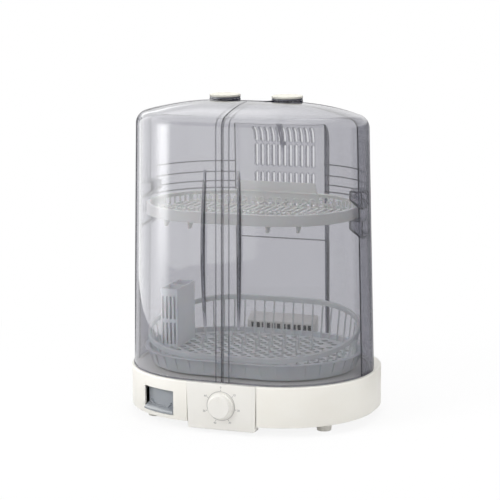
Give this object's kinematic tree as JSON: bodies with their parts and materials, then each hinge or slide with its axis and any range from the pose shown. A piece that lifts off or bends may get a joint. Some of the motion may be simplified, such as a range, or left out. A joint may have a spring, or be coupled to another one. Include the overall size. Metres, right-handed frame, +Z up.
{
  "type": "electric dish dryer",
  "caption": "Countertop electric dish dryer: oval base with timer knob and drain tank, clear hood with two swing doors, racks, drip tray and warm air outlet.",
  "frame": {"origin": "on the surface that the dryer stands on, under the middle of its outer box", "axes": "+Z up, -Y front with the control panel, +X to the right as one faces the panel"},
  "size_m": [0.388, 0.314, 0.495],
  "materials": {
    "ivory_abs": "moulded, satin gloss",
    "smoke_clear_plastic": "clear, smoke tint, polished",
    "dark_smoke_plastic": "dark smoke tint",
    "rack_plastic": "moulded, satin",
    "holder_plastic": "moulded, satin",
    "tray_plastic": "natural translucent",
    "tank_smoke_plastic": "dark smoke tint",
    "grey_rubber": "matt",
    "black_plastic": "matt",
    "steel": "bright",
    "galvanised_sheet": "zinc coated",
    "heater_alloy": "oxidised wire",
    "mica": "mica board",
    "filter_foam": "open foam"
  },
  "bodies": {
    "dryer": {"base_housing": "ivory_abs", "base_bottom_cover": "ivory_abs", "control_panel": "ivory_abs", "hot_air_outlet": "ivory_abs", "blower_housing": "ivory_abs", "air_duct": "galvanised_sheet", "fan_motor": "steel", "heater_element": "heater_alloy", "timer_unit": "black_plastic", "thermal_cutout": "black_plastic", "heater_frame": "mica", "drain_funnel": "grey_rubber", "cord_gland": "grey_rubber", "intake_filter": "filter_foam", "rear_cover": "smoke_clear_plastic", "left_pivot_pin": "steel", "right_pivot_pin": "steel", "left_pivot_cap": "ivory_abs", "right_pivot_cap": "ivory_abs", "cover_screw_1": "steel", "foot_1": "grey_rubber", "cover_screw_2": "steel", "foot_2": "grey_rubber", "cover_screw_3": "steel", "foot_3": "grey_rubber", "cover_screw_4": "steel", "foot_4": "grey_rubber"},
    "left_door": {"left_door": "smoke_clear_plastic", "left_pivot_collar": "dark_smoke_plastic"},
    "right_door": {"right_door": "smoke_clear_plastic", "right_pivot_collar": "dark_smoke_plastic"},
    "timer_knob": {"timer_knob": "ivory_abs", "timer_shaft": "steel"},
    "drain_tank": {"drain_tank": "tank_smoke_plastic"},
    "drip_tray": {"drip_tray": "tray_plastic"},
    "lower_basket": {"lower_basket": "rack_plastic"},
    "cutlery_holder": {"cutlery_holder": "holder_plastic"},
    "upper_rack": {"upper_rack": "rack_plastic"},
    "fan_wheel": {"fan_wheel": "black_plastic", "motor_shaft": "steel"}
  },
  "joints": [
    {"name": "left_door_swing", "type": "hinge", "parent": "dryer", "child": "left_door", "pos_m": [-0.0506, 0.01506, 0.48], "axis": [0, 0, -1], "range_deg": [0, 72]},
    {"name": "right_door_swing", "type": "hinge", "parent": "dryer", "child": "right_door", "pos_m": [0.0506, 0.01506, 0.48], "axis": [0, 0, 1], "range_deg": [0, 72]},
    {"name": "timer_turn", "type": "hinge", "parent": "dryer", "child": "timer_knob", "pos_m": [0, -0.15074, 0.0437], "axis": [0, 1, 0], "range_deg": [0, 300]},
    {"name": "drain_tank_slide", "type": "slide", "parent": "dryer", "child": "drain_tank", "axis": [-0.4067, -0.9135, 0], "range_m": [0, 0.07]},
    {"name": "drip_tray_lift", "type": "slide", "parent": "dryer", "child": "drip_tray", "axis": [0, 0, 1], "range_m": [0, 0.03]},
    {"name": "lower_basket_lift", "type": "slide", "parent": "drip_tray", "child": "lower_basket", "axis": [0, 0, 1], "range_m": [0, 0.04]},
    {"name": "cutlery_holder_lift", "type": "slide", "parent": "lower_basket", "child": "cutlery_holder", "axis": [0, 0, 1], "range_m": [0, 0.03]},
    {"name": "upper_rack_slide", "type": "slide", "parent": "dryer", "child": "upper_rack", "axis": [0, -1, 0], "range_m": [0, 0.006]},
    {"name": "fan_spin", "type": "hinge", "parent": "dryer", "child": "fan_wheel", "pos_m": [-0.028, 0.04426, 0.038], "axis": [0, 0, 1], "continuous": true}
  ]
}
